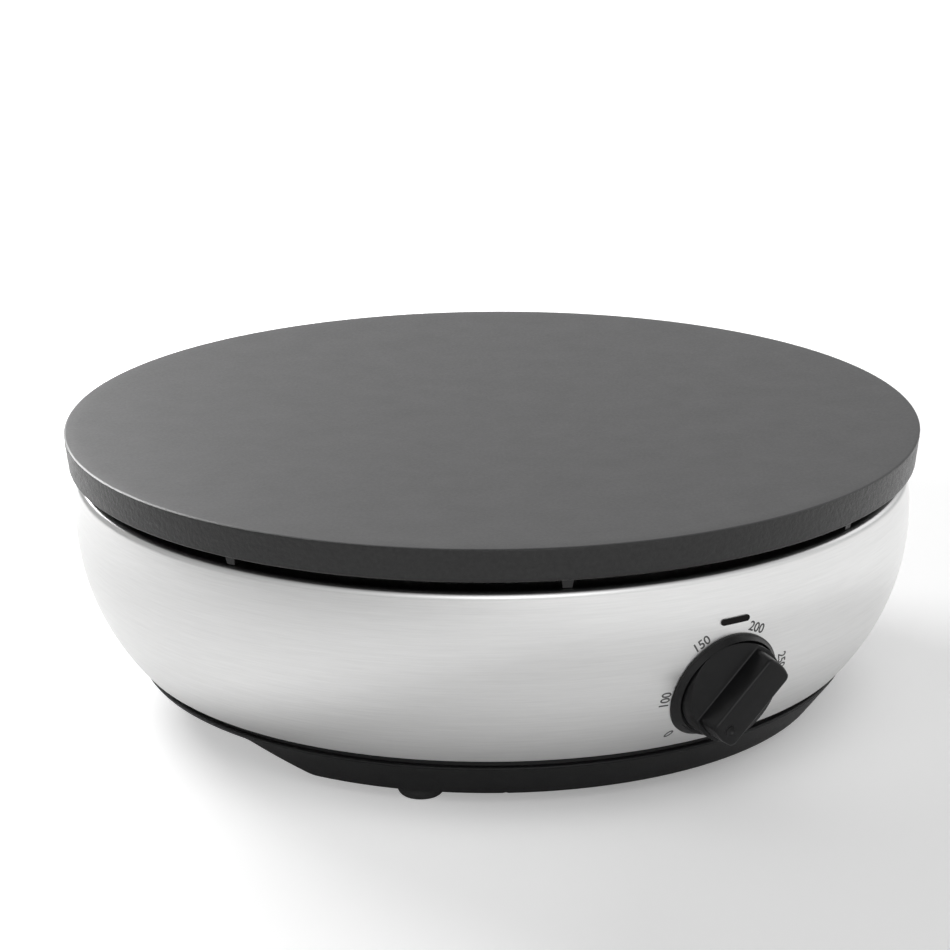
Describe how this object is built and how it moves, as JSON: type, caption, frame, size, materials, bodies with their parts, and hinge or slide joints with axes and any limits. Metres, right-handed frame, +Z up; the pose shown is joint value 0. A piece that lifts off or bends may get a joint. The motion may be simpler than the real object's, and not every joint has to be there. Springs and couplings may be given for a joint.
{
  "type": "electric crepe maker",
  "caption": "Round cast cooking plate on a bowl-shaped steel body, with a rotary heat control on the side and a black moulded base on rubber feet.",
  "frame": {"origin": "middle of the overall box's underside, on the floor that the feet stand on", "axes": "+Z up, -Y the side with the heat control, +X to the right of somebody who faces the control"},
  "size_m": [0.3498, 0.3597, 0.117],
  "materials": {
    "plate_iron": "seasoned, matt",
    "body_steel": "brushed round the bowl",
    "base_plastic": "matt, moulded",
    "foot_rubber": "matt",
    "screw_steel": "zinc plated",
    "reflector_aluminium": "bright sheet",
    "heater_steel": "heat darkened",
    "ceramic": "unglazed",
    "bracket_steel": "zinc plated sheet",
    "bezel_plastic": "satin",
    "knob_plastic": "satin",
    "thermostat_case": "plain",
    "brass": "plain",
    "copper": "plain copper",
    "lens_plastic": "glossy, dark when off",
    "holder_plastic": "moulded",
    "lamp_glass": "clear",
    "terminal_plastic": "moulded",
    "lead_brown": "sleeved",
    "lead_blue": "sleeved",
    "lead_green": "sleeved"
  },
  "bodies": {
    "housing": {"cooking_plate": "plate_iron", "outer_shell": "body_steel", "base_tray": "base_plastic", "rubber_feet": "foot_rubber", "foot_screws": "screw_steel", "shell_screws": "screw_steel", "shell_nuts": "screw_steel", "heat_reflector": "reflector_aluminium", "heating_element": "heater_steel", "element_insulators": "ceramic", "element_pins": "screw_steel", "element_clamps": "bracket_steel", "clamp_screws": "screw_steel", "tie_studs": "screw_steel", "reflector_nuts": "screw_steel", "tie_washers": "screw_steel", "tie_nuts": "screw_steel", "knob_bezel": "bezel_plastic", "thermostat_bracket": "bracket_steel", "bracket_screws": "screw_steel", "thermostat_body": "thermostat_case", "thermostat_nut": "brass", "sensor_bulb": "copper", "bulb_clip": "bracket_steel", "bulb_clip_screws": "screw_steel", "capillary_tube": "copper", "pilot_lens": "lens_plastic", "pilot_holder": "holder_plastic", "pilot_lamp": "lamp_glass", "cord_bushing": "foot_rubber", "terminal_block": "terminal_plastic", "pole_screws": "brass", "block_screws": "screw_steel", "thermal_fuse": "ceramic", "fuse_clip": "bracket_steel", "earth_tag": "brass", "reflector_screws": "screw_steel", "leads_brown": "lead_brown", "leads_blue": "lead_blue", "lead_earth": "lead_green"},
    "dial": {"knob": "knob_plastic", "knob_clip": "bracket_steel", "control_spindle": "screw_steel"}
  },
  "joints": [
    {"name": "dial_turn", "type": "hinge", "parent": "housing", "child": "dial", "pos_m": [0, -0.16215, 0.0512], "axis": [0, 0.9945, 0.1045], "range_deg": [0, 215]}
  ]
}
